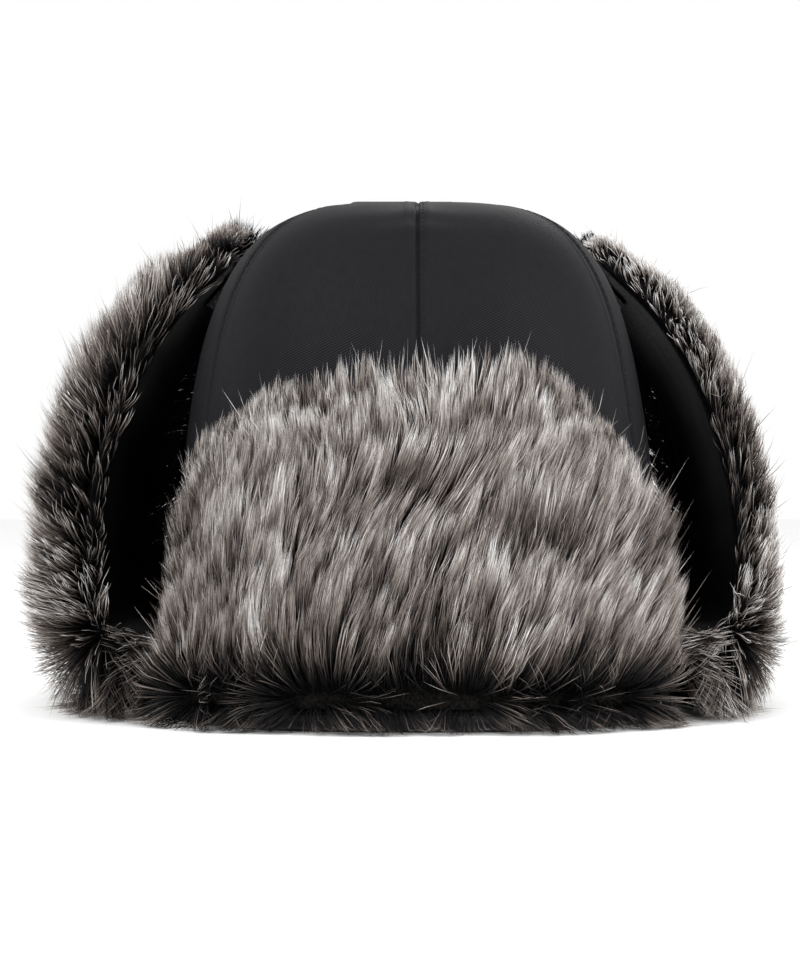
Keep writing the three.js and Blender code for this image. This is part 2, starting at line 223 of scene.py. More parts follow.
def ear_face(side):
    """The function that gives an ear flap's points. side is 1 on +X and -1 on -X."""

    def place(u, v, offset):
        rounding = np.sqrt(1 - 0.8 * np.clip((v - 0.8) / 0.2, 0, 1) ** 2)
        base = (EAR["back"] - EAR["front"]) / 2
        half = mix(base, EAR["tip_half_width"], past_fold(v) ** 1.3) * rounding
        centre = mix((EAR["back"] + EAR["front"]) / 2, EAR["tip_centre"], past_fold(v))
        y = centre + (2 * u - 1) * half
        out, z = offset_profile(EAR_PROFILE, v, offset)
        x = side * (out - bow(y, OUTLINE["half_width"], OUTLINE["half_length"]))
        return np.stack([x, y, z], axis=-1)

    return place


def neck_face(u, v, offset):
    half = mix(NECK["half_width"], NECK["top_half_width"], past_fold(v) ** 2)
    x = (1 - 2 * u) * half
    out, z = offset_profile(NECK_PROFILE, v, offset)
    return np.stack([x, out - bow(x, OUTLINE["half_length"], OUTLINE["half_width"]), z], axis=-1)


def front_face(u, v, offset):
    side = 2 * u - 1
    lean = mix(FRONT_FLAP["half_angle"], FRONT_FLAP["top_half_angle"], np.clip(v, 0, 1) ** 1.5)
    top = FRONT_FLAP["top"] - FRONT_FLAP["corner_drop"] * np.abs(side) ** 3.5
    angle = side * np.radians(lean)
    return crown_point(angle, mix(9, top, v), -(FRONT_FLAP["stand_off"] + offset))


# ---- making meshes and objects ----
def new_object(name, points, faces, uv=None):
    """A mesh object from points in millimetres. uv holds one pair for each point."""
    mesh = bpy.data.meshes.new(name)
    in_metres = np.asarray(points, float) * MM + np.array([0, CENTRE_Y, 0])
    mesh.from_pydata(in_metres.tolist(), [], [list(map(int, face)) for face in faces])
    if uv is not None:
        layer = mesh.uv_layers.new(name="weave")
        corners = np.empty(len(mesh.loops), int)
        mesh.loops.foreach_get("vertex_index", corners)
        layer.data.foreach_set("uv", np.asarray(uv, np.float32)[corners].ravel())
    mesh.shade_smooth()
    return add_object(name, mesh)


def add_object(name, mesh):
    made = bpy.data.objects.new(name, mesh)
    bpy.context.scene.collection.objects.link(made)
    return made


def grid_faces(columns, rows, around, start, flip):
    """Quads over a grid of points numbered row by row from start."""
    faces = []
    for row in range(rows - 1):
        for column in range(columns if around else columns - 1):
            after = (column + 1) % columns
            quad = [row * columns + column, row * columns + after]
            quad += [(row + 1) * columns + after, (row + 1) * columns + column]
            if flip:
                quad.reverse()
            faces.append([start + corner for corner in quad])
    return faces


def rim_faces(columns, rows, around):
    """Quads that join a grid to the one numbered after it, round their edges."""
    other = columns * rows
    bottom = list(range(columns))
    top = [(rows - 1) * columns + column for column in range(columns)]
    if around:
        loops = [bottom + bottom[:1], (top + top[:1])[::-1]]
    else:
        left = [row * columns for row in range(rows)]
        right = [row * columns + columns - 1 for row in range(rows)]
        loops = [bottom, right, top[::-1], left[::-1]]
    faces = []
    for loop in loops:
        faces += [[b, a, a + other, b + other] for a, b in zip(loop, loop[1:])]
    return faces


def slab(name, columns, rows, place, size, around=False, outwards=1):
    """A closed sheet. place(u, v, w) gives its points, on one face for w = 0 and on the other for w = 1.
    size is its width and height in millimetres, for the weave."""
    across = np.linspace(0, 1, columns + 1)[:-1] if around else np.linspace(0, 1, columns)
    u, v = (grid.ravel() for grid in np.meshgrid(across, np.linspace(0, 1, rows)))
    points = np.vstack([place(u, v, 1.0), place(u, v, 0.0)])
    faces = grid_faces(columns, rows, around, 0, False)
    faces += grid_faces(columns, rows, around, columns * rows, True)
    faces += rim_faces(columns, rows, around)
    if outwards < 0:
        faces = [face[::-1] for face in faces]
    uv = np.stack([u * size[0], v * size[1]], axis=-1) * MM
    return new_object(name, points, faces, np.vstack([uv, uv]))


def ring(name, steps, section_steps, section):
    """A closed ring round the crown. section(angle, turn) gives its points, for turn from 0 to 1."""
    angle, turn = np.meshgrid(
        np.linspace(0, 2 * math.pi, steps, endpoint=False),
        np.linspace(0, 1, section_steps, endpoint=False),
    )
    points = section(angle.ravel(), turn.ravel())
    faces = grid_faces(steps, section_steps, True, 0, False)
    for column in range(steps):
        after = (column + 1) % steps
        last = (section_steps - 1) * steps
        faces.append([last + column, last + after, after, column])
    length = 2 * math.pi * CROWN["half_width"]
    uv = np.stack([angle.ravel() / (2 * math.pi) * length, turn.ravel() * 30], axis=-1) * MM
    return new_object(name, points, faces, uv)


def stitches(name, starts, ends, radius):
    """One small closed thread for each start and end."""
    along = unit(ends - starts)
    side = unit(np.cross(along, np.array([0.3, 0.5, 0.81])))
    other = np.cross(along, side)
    points = []
    for share, swell in ((0, 0.35), (0.15, 1), (0.85, 1), (1, 0.35)):
        for turn in np.arange(5) * 2 * math.pi / 5:
            round_it = side * math.cos(turn) + other * math.sin(turn)
            points.append(mix(starts, ends, share) + radius * swell * round_it)
    points = np.stack(points, axis=1)
    pattern = grid_faces(5, 4, True, 0, False) + [[4, 3, 2, 1, 0], [15, 16, 17, 18, 19]]
    faces = [[20 * i + corner for corner in face] for i in range(len(starts)) for face in pattern]
    return new_object(name, points.reshape(-1, 3), faces)


def stitch_line(path, lift, pitch=3.6, gap=0.9):
    """Where the stitches of one line start and end. path gives points and outward directions at shares."""
    shares = np.linspace(0, 1, 400)
    points, _ = path(shares)
    travelled = np.concatenate([[0], np.cumsum(np.linalg.norm(np.diff(points, axis=0), axis=1))])
    begin = np.arange(pitch, travelled[-1] - pitch, pitch)
    ends = []
    for at in (begin, begin + pitch - gap):
        place, outward = path(np.interp(at, travelled, shares))
        ends.append(place + outward * lift)
    return ends


# ---- materials ----
def new_material(name, roughness, specular=0.5, sheen=0.0, sheen_roughness=0.5):
    material = bpy.data.materials.new(name)
    material.use_nodes = True
    shader = material.node_tree.nodes["Principled BSDF"]
    shader.inputs["Roughness"].default_value = roughness
    shader.inputs["Specular IOR Level"].default_value = specular
    shader.inputs["Sheen Weight"].default_value = sheen
    shader.inputs["Sheen Roughness"].default_value = sheen_roughness
    return material, material.node_tree, shader


def add_node(tree, kind, **settings):
    made = tree.nodes.new(kind)
    for key, value in settings.items():
        if key in made.inputs:
            made.inputs[key].default_value = value
        else:
            setattr(made, key, value)
    return made


def add_ramp(tree, factor, stops):
    ramp = tree.nodes.new("ShaderNodeValToRGB")
    while len(ramp.color_ramp.elements) < len(stops):
        ramp.color_ramp.elements.new(0.5)
    for element, (position, colour) in zip(ramp.color_ramp.elements, stops):
        element.position = position
        element.color = (*colour, 1)
    tree.links.new(factor, ramp.inputs["Fac"])
    return ramp.outputs["Color"]


def add_bump(tree, shader, height, strength, distance):
    bump = add_node(tree, "ShaderNodeBump", Strength=strength, Distance=distance)
    tree.links.new(height, bump.inputs["Height"])
    tree.links.new(bump.outputs["Normal"], shader.inputs["Normal"])


def woven(name, dark, light, pitch, turn, roughness, strength=0.5, sheen=0.0, specular=0.5):
    """Cloth whose yarns run at an angle across the weave coordinates, a pitch in millimetres apart."""
    material, tree, shader = new_material(name, roughness, specular, sheen)
    where = add_node(tree, "ShaderNodeUVMap", uv_map="weave")
    turned = add_node(tree, "ShaderNodeMapping")
    turned.inputs["Rotation"].default_value = (0, 0, math.radians(turn))
    tree.links.new(where.outputs["UV"], turned.inputs["Vector"])
    wave = add_node(tree, "ShaderNodeTexWave", Scale=0.314 / (pitch * MM), Distortion=0.6)
    wave.inputs["Detail Scale"].default_value = 0.4
    tree.links.new(turned.outputs["Vector"], wave.inputs["Vector"])
    wear = add_node(tree, "ShaderNodeTexNoise", Scale=35.0, Detail=4.0)
    blend = add_node(tree, "ShaderNodeMix", Factor=0.35)
    tree.links.new(wave.outputs["Fac"], blend.inputs["A"])
    tree.links.new(wear.outputs["Fac"], blend.inputs["B"])
    colour = add_ramp(tree, blend.outputs["Result"], [(0.2, dark), (0.8, light)])
    tree.links.new(colour, shader.inputs["Base Color"])
    add_bump(tree, shader, wave.outputs["Fac"], strength, 0.15 * pitch * MM)
    return material


def mottled(name, dark, light, size, roughness, strength=0.4, distance=0.3, sheen=0.0, specular=0.5):
    """Fleece, wadding or moulded plastic: a fine random grain of a size in millimetres."""
    material, tree, shader = new_material(name, roughness, specular, sheen)
    where = add_node(tree, "ShaderNodeTexCoord")
    grain = add_node(tree, "ShaderNodeTexNoise", Scale=1 / (size * MM), Detail=5.0, Roughness=0.65)
    tree.links.new(where.outputs["Object"], grain.inputs["Vector"])
    colour = add_ramp(tree, grain.outputs["Fac"], [(0.35, dark), (0.65, light)])
    tree.links.new(colour, shader.inputs["Base Color"])
    add_bump(tree, shader, grain.outputs["Fac"], strength, distance * MM)
    return material


FUR_COLOURS = [
    (0.0, (0.004, 0.004, 0.005)),
    (0.30, (0.012, 0.011, 0.011)),
    (0.50, (0.095, 0.078, 0.069)),
    (0.68, (0.25, 0.215, 0.192)),
    (0.85, (0.46, 0.43, 0.41)),
    (1.0, (0.74, 0.73, 0.72)),
]


def fur_material():
    """A pile's colour depends on the share along the strand, in U, and on the strand's tone, in V, which
    holds painted shade at some flap edges as well as the pile's own colours.
    """
    material, tree, shader = new_material("fur_pile", 0.5, specular=0.12)
    where = add_node(tree, "ShaderNodeUVMap", uv_map="OFBake")
    parts = add_node(tree, "ShaderNodeSeparateXYZ")
    tree.links.new(where.outputs["UV"], parts.inputs["Vector"])
    tone = add_node(tree, "ShaderNodeMath", operation="MULTIPLY_ADD")
    tree.links.new(parts.outputs["Y"], tone.inputs[0])
    tone.inputs[1].default_value = 0.9
    tone.inputs[2].default_value = -0.5
    total = add_node(tree, "ShaderNodeMath", operation="MULTIPLY_ADD")
    tree.links.new(parts.outputs["X"], total.inputs[0])
    total.inputs[1].default_value = 0.85
    tree.links.new(tone.outputs["Value"], total.inputs[2])
    colour = add_ramp(tree, total.outputs["Value"], FUR_COLOURS)
    tree.links.new(colour, shader.inputs["Base Color"])
    return material


NEAR_BLACK = (0.0034, 0.0034, 0.004)
TWILL = woven("nylon_twill", NEAR_BLACK, (0.0115, 0.0115, 0.0138), 0.9, 58, 0.6, 0.5, specular=0.06)
# The taffeta's colours are the nylon's black, darkened well below the crown's nylon as painted shade for
# the deep gaps between the flaps and the crown; the same darkest black is also the undercoat's own colour.
BLACK_AND_PAINTED_SHADE = (0.001, 0.001, 0.001)
TAFFETA_PAINTED_SHADE = woven("nylon_taffeta_painted_shade", BLACK_AND_PAINTED_SHADE, (0.003, 0.003, 0.004), 0.6, 0, 0.5, 0.3, specular=0.03)
CHARCOAL = (0.012, 0.012, 0.014)
QUILT = woven("quilted_lining", CHARCOAL, (0.026, 0.026, 0.030), 0.6, 90, 0.45, 0.3, specular=0.3)
TAPE = woven("binding_tape", (0.008, 0.008, 0.009), (0.022, 0.022, 0.024), 1.2, 45, 0.7, 0.8)
WEBBING = woven("webbing", (0.007, 0.007, 0.008), (0.030, 0.030, 0.032), 1.7, 0, 0.6, 1.0)
FLEECE = mottled("fleece", CHARCOAL, (0.040, 0.040, 0.044), 1.1, 0.95, 1.0, 0.8, sheen=0.4)
WADDING = mottled("wadding", (0.62, 0.61, 0.58), (0.85, 0.84, 0.81), 1.6, 0.95, 0.8, 0.8)
MOULDED = mottled("moulded_plastic", (0.010, 0.010, 0.011), (0.016, 0.016, 0.017), 0.35, 0.38, 0.25, 0.05)
THREAD = mottled("thread", (0.003, 0.003, 0.0035), (0.010, 0.010, 0.011), 0.5, 0.6, 0.4, 0.1, specular=0.1)
UNDERCOAT = mottled("fur_undercoat", BLACK_AND_PAINTED_SHADE, (0.012, 0.011, 0.010), 1.2, 1.0, 1.0, 1.2, specular=0.05)
PILE = fur_material()


def finish_piece(piece, material, body, stands_for=()):
    piece.data.materials.clear()
    piece.data.materials.append(material)
    if isinstance(body, str):
        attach(piece, body)
    else:
        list(body)
        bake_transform(piece)
    if stands_for:
        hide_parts(*stands_for)
    return piece


# ---- crown ----
SIDE_BULGE = {"angle": 92, "height": 72, "out": 3.5}  # where the right side panel sags over the flap's fold


SEAM_TO_STITCHES = 2.3


def seam_relief(distance, along, seed):
    """How far cloth stands out near a seam: the stitched valley, the pressed allowance and its puckers."""
    valley = -1.9 * np.exp(-((distance / 0.8) ** 2))
    allowance = 0.35 * smooth((6.0 - distance) / 1.5)
    stitched = -0.25 * np.exp(-(((distance - SEAM_TO_STITCHES) / 0.7) ** 2))
    places = np.stack([distance, along], axis=-1)
    wander = 2.2 * noise(places, 24, seed)
    strength = 0.2 + 0.2 * noise(places + 31, 40, seed + 1)
    puckers = strength * np.exp(-distance / 10) * np.sin(2 * math.pi * along / 8.5 + wander)
    return valley + allowance + stitched + puckers


def cloth_relief(points):
    """The soft unevenness of the crown's cloth, with the sag of its right side."""
    relief = 0.9 * noise(points, 62, 3) + 0.35 * noise(points, 26, 4)
    angle = np.degrees(np.arctan2(points[:, 0], -points[:, 1]))
    sag = ((angle - SIDE_BULGE["angle"]) / 30) ** 2 + ((points[:, 2] - SIDE_BULGE["height"]) / 34) ** 2
    crease = ((angle - 66) / 2.2 - (points[:, 2] - 120) / 55) ** 2
    crease_reach = np.exp(-(((points[:, 2] - 118) / 30) ** 2))
    return relief + SIDE_BULGE["out"] * np.exp(-sag) - 0.8 * np.exp(-crease) * crease_reach


def gore_point(number, u, v, w):
    """Points of a gore: u across from seam to seam, v up its profile, w from inner to outer face."""
    start = math.radians(number * GORE_DEGREES)
    end = math.radians((number + 1) * GORE_DEGREES)
    inset = SHELL * (1 - w)
    point = crown_point(mix(start, end, u), dome_height(v * DOME_END, inset), inset)
    outward = unit(point - np.array([0, 0, CROWN["bottom"]]))
    width = dome_share(point[:, 2], CROWN["top"]) * GORE_WIDTH
    swell = CROWN["puff"] * 16 * u * (1 - u) * v * (1 - v)
    relief = relief_by_seam(number, u, point, start, end) + cloth_relief(point)
    return point + outward * (swell + relief * smooth(width / 18))[:, None]


def relief_by_seam(number, u, point, start, end):
    """The relief of the seam at each side of a gore, which both its gores share."""
    z = point[:, 2]
    left_seam = crown_point(np.full(len(z), start), z, 0)
    right_seam = crown_point(np.full(len(z), end), z, 0)
    left = seam_relief(np.linalg.norm(point - left_seam, axis=1), z * 1.1, 60 + number)
    right = seam_relief(np.linalg.norm(point - right_seam, axis=1), z * 1.1, 60 + (number + 1) % GORES)
    return np.where(u < 0.5, left, right)


def stitch_share(number, v):
    """How far across a gore its topstitching lies at each height, as a share of the gore's width."""
    shares = np.linspace(0, 0.5, 300)
    z = dome_height(v, 0)
    start = math.radians(number * GORE_DEGREES)
    across = []
    for height in z:
        row = crown_point(start + shares * math.radians(GORE_DEGREES), np.full(300, height), 0)
        travelled = np.linalg.norm(row - row[0], axis=1)
        across.append(np.interp(SEAM_TO_STITCHES, travelled, shares))
    return np.array(across)


def seam_spacing(share):
    """Puts more of a gore's columns near its two seams, where the relief is fine."""
    return (1 - np.cos(math.pi * share)) / 2


def make_gores():
    for number, name in enumerate(GORE_NAMES):

        def place(u, v, w, number=number):
            return gore_point(number, seam_spacing(u), v, w)

        piece = slab(name + "_cloth", 72, 110, place, (GORE_WIDTH, 230))
        finish_piece(piece, TWILL, "crown", [name])


def make_crown_topstitch():
    starts, ends = [], []
    for number in range(GORES):

        def path(shares, number=number):
            v = 0.01 + shares * 0.93
            place = gore_point(number, stitch_share(number, v), v, 1.0)
            return place, unit(place - np.array([0, 0, CROWN["bottom"]]))

        line = stitch_line(path, 0.12)
        starts.append(line[0])
        ends.append(line[1])
    piece = stitches("crown_topstitch", np.vstack(starts), np.vstack(ends), STITCH_RADIUS)
    finish_piece(piece, THREAD, "crown")


def make_crown_inside():
    def wadding(u, v, w):
        inset = 3.0 + 3.2 * (1 - w)
        point = crown_point(u * 2 * math.pi, dome_height(v * DOME_END, inset), inset)
        outward = unit(point - np.array([0, 0, CROWN["bottom"]]))
        fade = smooth(dome_share(point[:, 2], CROWN["top"]) * 6)
        relief = cloth_relief(point) + 0.4 * noise(point, 9, 8)
        return point + outward * (relief * fade)[:, None]

    piece = slab("crown_wadding_batt", 120, 60, wadding, (660, 230), around=True)
    finish_piece(piece, WADDING, "crown", ["crown_wadding"])

    def lining(u, v, w):
        inset = 6.6 + 1.6 * (1 - w)
        point = crown_point(u * 2 * math.pi, dome_height(v * DOME_END, inset), inset)
        inward = -unit(point - np.array([0, 0, CROWN["bottom"]]))
        across = u * 20 * math.pi
        along = v * 8.5 * math.pi
        cell = np.abs(np.sin(across + along) * np.sin(across - along))
        puff = (2.0 * cell**0.45 - 0.4) * smooth(dome_share(point[:, 2], CROWN["top"]) * 4)
        return point + inward * (puff * (1 if w == 0 else 0.0))[:, None]

    piece = slab("quilted_lining", 320, 120, lining, (620, 220), around=True)
    finish_piece(piece, QUILT, "crown", ["crown_lining"])


def make_sweatband():
    def section(angle, turn):
        """A flat band with soft round edges."""
        across = np.cos(2 * math.pi * turn)
        up = np.sin(2 * math.pi * turn)
        thick = np.sign(across) * np.abs(across) ** 0.35
        tall = np.sign(up) * np.abs(up) ** 0.8
        ripple = 0.35 * noise(np.stack([angle * 90, turn * 60], axis=-1), 14, 12)
        return crown_point(angle, 21 + 16.8 * tall, 10.6 - 1.6 * thick - ripple)

    piece = ring("sweatband_fleece", 240, 28, section)
    finish_piece(piece, FLEECE, "crown", ["sweatband"])


def binding_point(angle, turn):
    across = np.cos(2 * math.pi * turn)
    up = np.sin(2 * math.pi * turn)
    ripple = 0.12 * np.sin(angle * 150) * np.abs(across)
    out = 0.3 + BINDING["width"] / 2 * (1 + np.sign(across) * np.abs(across) ** 0.6) + ripple
    z = BINDING["height"] / 2 * (1 + np.sign(up) * np.abs(up) ** 0.6)
    x = (CROWN["half_width"] + out) * oval(np.sin(angle))
    y = -(CROWN["half_length"] + out) * oval(np.cos(angle))
    return np.stack([x, y, z], axis=-1)


def make_binding():
    piece = ring("edge_binding_tape", 300, 20, binding_point)
    finish_piece(piece, TAPE, "crown", ["edge_binding"])

    def path(shares):
        angle = shares * 2 * math.pi
        place = binding_point(angle, np.full(len(shares), 0.08))
        return place, unit(place * np.array([1, 1, 0]))

    piece = stitches("binding_stitches", *stitch_line(path, 0.1), STITCH_RADIUS)
    finish_piece(piece, THREAD, "crown")


# ---- flaps' padded nylon panels ----
def edge_distance(u, v, width, length):
    """How far a point is from a flap's two sides and its free end."""
    return np.minimum(np.minimum(u, 1 - u) * width, (1 - v) * length)


def make_panel(name, face, size, thickness, body, handed, inner="shell"):
    """The padded nylon side of a flap, which stands for its wadding and its nylon face."""
    width, length = size

    def place(u, v, w):
        edge = edge_distance(u, v, width, length)
        round_edge = np.sqrt(1 - (1 - np.clip(edge / 8, 0, 1)) ** 2)
        stitched = 0.55 * np.exp(-(((edge - EDGE_STITCH_INSET) / 1.1) ** 2))
        flat = np.stack([u * width, v * length], axis=-1)
        creases = 0.5 * noise(flat, 34, 21) + 0.22 * noise(flat, 11, 22)
        half = thickness / 2 * np.maximum(round_edge, 0.14) - stitched + creases * round_edge * 0.5
        return face(u, v, thickness / 2 + (2 * w - 1) * half)

    piece = slab(name + "_panel", 80, 110, place, size, outwards=handed)
    # The panels' near-black taffeta is painted shade where they face the crown.
    finish_piece(piece, TAFFETA_PAINTED_SHADE, body, [f"{name}_{inner}", f"{name}_wadding"])

    def path(shares):
        """Up one side, across the free end and down the other side."""
        inset = EDGE_STITCH_INSET
        corner = np.array([(0, 0.02), (0, 1), (1, 1), (1, 0.02)], float)
        corner[:, 0] = mix(inset / width, 1 - inset / width, corner[:, 0])
        corner[:, 1] = np.minimum(corner[:, 1], 1 - inset / length)
        at = shares * 3
        step = np.minimum(at.astype(int), 2)
        uv = mix(corner[step], corner[step + 1], (at - step)[:, None])
        near = place(uv[:, 0], uv[:, 1], 0.0)
        far = place(uv[:, 0], uv[:, 1], 1.0)
        return near, unit(near - far)

    piece = stitches(name + "_panel_stitches", *stitch_line(path, 0.1), STITCH_RADIUS)
    finish_piece(piece, THREAD, body)


# ---- fur ----
class Flap:
    """What the fur of one flap needs to know: its face, its size and how its pile lies."""

    def __init__(self, name, face, size, backing, lay, strands, body, wrap=10, far_turn=115, far_share=0.0):
        self.name = name
        self.node = name + "_fur"
        self.face = face
        self.width, self.length = size
        self.backing = backing
        self.lay = lay
        self.strands = strands
        self.body = body
        self.far_turn = far_turn  # degrees that the pile turns round the edge at u = 1
        self.far_share = far_share  # the share of the strands that crowd that edge
        self.wrap = wrap  # how far round its edges the pile is rooted


PILE_STEPS = np.array([0, 0.36, 0.7, 1.0])
TUFT_SIZE = 10
LOCK_SIZE = 3.4


def root_frame(flap, flat):
    """Where strands are rooted and which ways are out, across and along there. flat holds millimetres
    across and along the flap, and may lie past its edges, where the pile is rooted round them."""
    u, v = flat[:, 0] / flap.width, flat[:, 1] / flap.length
    on_u, on_v = np.clip(u, 0.001, 0.999), np.clip(v, 0.001, 0.999)
    past = np.stack([(u - on_u) * flap.width, (v - on_v) * flap.length], axis=-1)
    share = np.clip(np.linalg.norm(past, axis=1) / flap.wrap, 0, 1)[:, None]
    step = 0.01
    across = unit(flap.face(on_u + step, on_v, flap.backing) - flap.face(on_u - step, on_v, flap.backing))
    higher, lower = np.clip(on_v + step, 0, 1), np.clip(on_v - step, 0, 1)
    along = unit(flap.face(on_u, higher, flap.backing) - flap.face(on_u, lower, flap.backing))
    out = unit(flap.face(on_u, on_v, flap.backing + 1) - flap.face(on_u, on_v, flap.backing))
    edgewards = unit(past[:, :1] * across + past[:, 1:] * along + 1e-9 * out)
    turn = np.radians(np.where(past[:, :1] > 0, flap.far_turn, 115)) * share
    turned = np.where(share > 0, out * np.cos(turn) + edgewards * np.sin(turn), out)
    depth = flap.backing * (1 - 0.85 * share[:, 0] ** 1.5)
    root = flap.face(on_u, on_v, depth) + edgewards * np.sqrt(share) * 2.0
    return root, turned, across, along


def strand_paths(flap, flat, seed):
    """The path of the strand that grows at each place, as four points."""
    root, out, across, along = root_frame(flap, flat)
    lay = flap.lay(flat)
    length = lay["length"] * (1 + 0.16 * noise(flat, 17, seed) + 0.12 * noise(flat, 5, seed + 1))
    side = lay["side"] + 0.30 * noise(flat, 30, seed + 2) + 0.20 * noise(flat, 11, seed + 3)
    up = lay["up"]
    lift = lay["lift"] * (1 + 0.45 * noise(flat, 15, seed + 4))
    comb = unit(across * side[:, None] + along * up[:, None] + 1e-6)
    near = unit(comb * 0.55 + out * (lift + 0.35)[:, None])
    far = unit(comb + out * (lift * lay["droop"])[:, None])
    s = PILE_STEPS[None, :, None]
    reach = near[:, None] * (s - s**2 / 2) + far[:, None] * (s**2 / 2)
    return root[:, None] + 1.35 * length[:, None, None] * reach


def nearest_centre(flat, size, seed):
    """The middle of the tuft that each place belongs to, and the tuft's number."""
    cell = np.floor(flat / size).astype(np.int64)
    best = np.full(len(flat), np.inf)
    centre = np.zeros_like(flat)
    number = np.zeros(len(flat), np.int64)
    for shift in itertools.product((-1, 0, 1), repeat=2):
        at = cell + np.array(shift)
        key = at[:, 0] * 73856093 + at[:, 1] * 19349663
        jitter = np.stack([hashed(key, seed), hashed(key, seed + 1)], axis=-1)
        candidate = (at + 0.12 + 0.76 * jitter) * size
        distance = np.linalg.norm(candidate - flat, axis=1)
        closer = distance < best
        best[closer] = distance[closer]
        centre[closer] = candidate[closer]
        number[closer] = key[closer]
    return centre, number


def tufted_paths(flap, flat, rng):
    """Strands drawn together into locks and larger tufts towards their tips, with their tones."""
    paths = strand_paths(flap, flat, 70)
    tuft_at, tuft = nearest_centre(flat, TUFT_SIZE, 80)
    lock_at, lock = nearest_centre(flat + rng.normal(0, 0.4, flat.shape), LOCK_SIZE, 90)
    s = PILE_STEPS[None, :, None]
    for centres, pull, power in (
        (lock_at, 0.45 + 0.45 * hashed(lock, 91), 1.2),
        (tuft_at, 0.15 + 0.6 * hashed(tuft, 81), 1.5),
    ):
        guide = strand_paths(flap, centres, 70)
        apart = np.linalg.norm(guide[:, 3] - paths[:, 3], axis=1)
        pull = pull * np.exp(-((apart / 13) ** 2))  # strands that lie another way don't join a tuft
        paths = mix(paths, guide, pull[:, None, None] * s**power)
    stray = rng.normal(0, 1, (len(flat), 1, 3)) * (0.5 + 4 * (rng.random((len(flat), 1, 1)) > 0.94))
    paths = paths + stray * s**1.5
    paths[:, 1:3] += rng.normal(0, 0.35, (len(flat), 2, 3))
    paths[:, 3] = mix(paths[:, 2], paths[:, 3], rng.uniform(0.45, 1.15, (len(flat), 1)))
    tone = flap.lay(flat)["tone"] + 0.28 * (hashed(tuft, 83) - 0.5) + 0.38 * (hashed(lock, 93) - 0.5)
    return paths, tone + rng.normal(0, 0.10, len(flat))


def rest_on_floor(paths, rng):
    """Strands that would pass through the floor lie along it."""
    lowest = 0.4 + 2.5 * rng.random((len(paths), 1))
    paths[:, :, 2] = np.maximum(paths[:, :, 2], lowest)
    return paths


PROUD = 15  # millimetres that a strand may stand past the solid model's box


def keep_near_the_box(paths):
    """Strands that would stand too far past the solid model are shorter."""
    shift = np.array([0, CENTRE_Y, 0])
    low = (np.array(cad_low) - shift) / MM - PROUD
    high = (np.array(cad_high) - shift) / MM + PROUD
    root = paths[:, :1]
    reach = paths - root
    room = np.where(reach > 0, high - root, root - low) / np.maximum(np.abs(reach), 1e-6)
    share = np.clip(room.min(axis=(1, 2)), 0.1, 1)
    return root + reach * share[:, None, None]


def strand_mesh(name, paths, tone, radius):
    """A closed three-sided tapering tube along each path."""
    count = len(paths)
    along = unit(paths[:, 3] - paths[:, 0])
    side = unit(np.cross(along, np.array([0.21, 0.33, 0.92])))
    other = np.cross(along, side)
    points = np.empty((count, 10, 3))
    for ring_number, taper in enumerate((0.75, 1.0, 0.72)):
        for corner in range(3):
            turn = corner * 2 * math.pi / 3
            round_it = side * math.cos(turn) + other * math.sin(turn)
            beside = round_it * (radius * taper)[:, None]
            points[:, ring_number * 3 + corner] = paths[:, ring_number] + beside
    points[:, 9] = paths[:, 3]
    quads = []
    for ring_number in range(2):
        for corner in range(3):
            low, after = ring_number * 3 + corner, ring_number * 3 + (corner + 1) % 3
            quads.append([low, after, after + 3, low + 3])
    triangles = [[6, 7, 9], [7, 8, 9], [8, 6, 9], [2, 1, 0]]
    pattern = np.array(sum(quads + triangles, []))
    starts = np.array([0, 4, 8, 12, 16, 20, 24, 27, 30, 33])
    loops = (np.arange(count)[:, None] * 10 + pattern).ravel()
    polygons = (np.arange(count)[:, None] * len(pattern) + starts).ravel()
    share = np.repeat(PILE_STEPS, [3, 3, 3, 1])[pattern]
    across = np.array([0, 0.004, 0.008] * 3 + [0.004])[pattern]
    uv = np.empty((count, len(pattern), 2), np.float32)
    uv[:, :, 0] = 0.01 + 0.98 * share
    uv[:, :, 1] = np.clip(tone, 0.01, 0.98)[:, None] + across
    mesh = bpy.data.meshes.new(name)
    mesh.vertices.add(count * 10)
    mesh.vertices.foreach_set("co", (points * MM + np.array([0, CENTRE_Y, 0])).ravel())
    mesh.loops.add(len(loops))
    mesh.loops.foreach_set("vertex_index", loops)
    mesh.polygons.add(len(polygons))
    mesh.polygons.foreach_set("loop_start", polygons)
    layer = mesh.uv_layers.new(name="OFBake")
    layer.data.foreach_set("uv", uv.ravel())
    mesh.update(calc_edges=True)
    mesh.shade_smooth()
    return add_object(name, mesh)


STRANDS_IN_A_PIECE = 12000


def grow_fur(flap, seed):
    rng = np.random.default_rng(seed)
    pieces = math.ceil(flap.strands / STRANDS_IN_A_PIECE)
    for number in range(pieces):
        count = flap.strands // pieces
        low = np.array([-flap.wrap, 0.0])
        high = np.array([flap.width + flap.wrap, flap.length + 0.5 * flap.wrap])
        flat = rng.uniform(low, high, (count, 2))
        crowded = rng.random(count) < flap.far_share
        flat[crowded, 0] = rng.uniform(flap.width, flap.width + flap.wrap, crowded.sum())
        paths, tone = tufted_paths(flap, flat, rng)
        paths = rest_on_floor(keep_near_the_box(paths), rng)
        radius = rng.uniform(0.10, 0.21, count)
        piece = strand_mesh(f"{flap.name}_pile_{number + 1}", paths, tone, radius)
        finish_piece(piece, PILE, flap.body)


